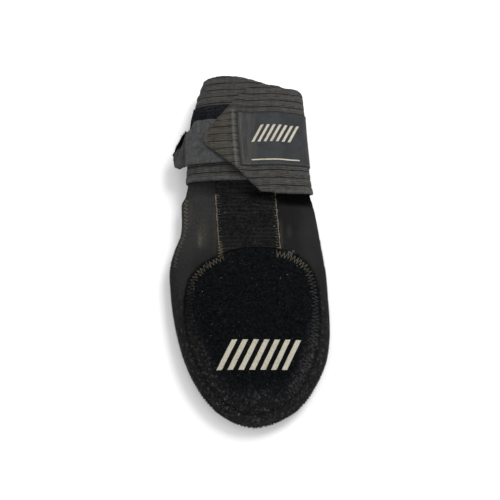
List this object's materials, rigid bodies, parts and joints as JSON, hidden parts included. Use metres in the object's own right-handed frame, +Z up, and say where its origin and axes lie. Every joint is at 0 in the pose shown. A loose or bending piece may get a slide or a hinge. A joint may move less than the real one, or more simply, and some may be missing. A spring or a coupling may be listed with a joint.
{
  "type": "sliding mitt",
  "caption": "Padded mitt that shields a whole hand while sliding: hollow neoprene pocket, brushed striking panel, and a wide ribbed elastic wrist strap closed by a hook tab.",
  "frame": {"origin": "on the surface it lies on, under the middle of the whole mitt", "axes": "+X to the mitt's right as its back faces up, +Y from the fingertips to the wrist mouth, +Z up out of the back of the hand"},
  "size_m": [0.1292, 0.299, 0.0453],
  "materials": {
    "neoprene": "charcoal knit-faced neoprene, matt, with faint dust",
    "brushed_panel": "deep black brushed fabric, fuzzy, with specks of lint",
    "loop_tape": "black loop tape, matt and fibrous",
    "ribbed_elastic": "warm dark grey ribbed woven elastic, slightly faded",
    "label_rubber": "smooth satin rubber, cool dark grey",
    "tab_rubber": "soft satin rubber, mid grey, creased",
    "hook_tape": "black hook tape, bristly",
    "print": "thick off-white transfer print, worn at the edges"
  },
  "bodies": {
    "root": {"hand_pocket": "neoprene", "striking_panel": "brushed_panel", "loop_strip": "loop_tape", "panel_bar_1": "print", "panel_bar_2": "print", "panel_bar_3": "print", "panel_bar_4": "print", "panel_bar_5": "print", "panel_bar_6": "print", "panel_bar_7": "print", "wrist_strap": "ribbed_elastic", "loop_patch": "loop_tape", "hook_pad": "hook_tape", "hook_tab": "tab_rubber", "label_patch": "label_rubber", "label_bar_1": "print", "label_bar_2": "print", "label_bar_3": "print", "label_bar_4": "print", "label_bar_5": "print", "label_bar_6": "print", "label_bar_7": "print", "label_line": "print"}
  },
  "joints": []
}
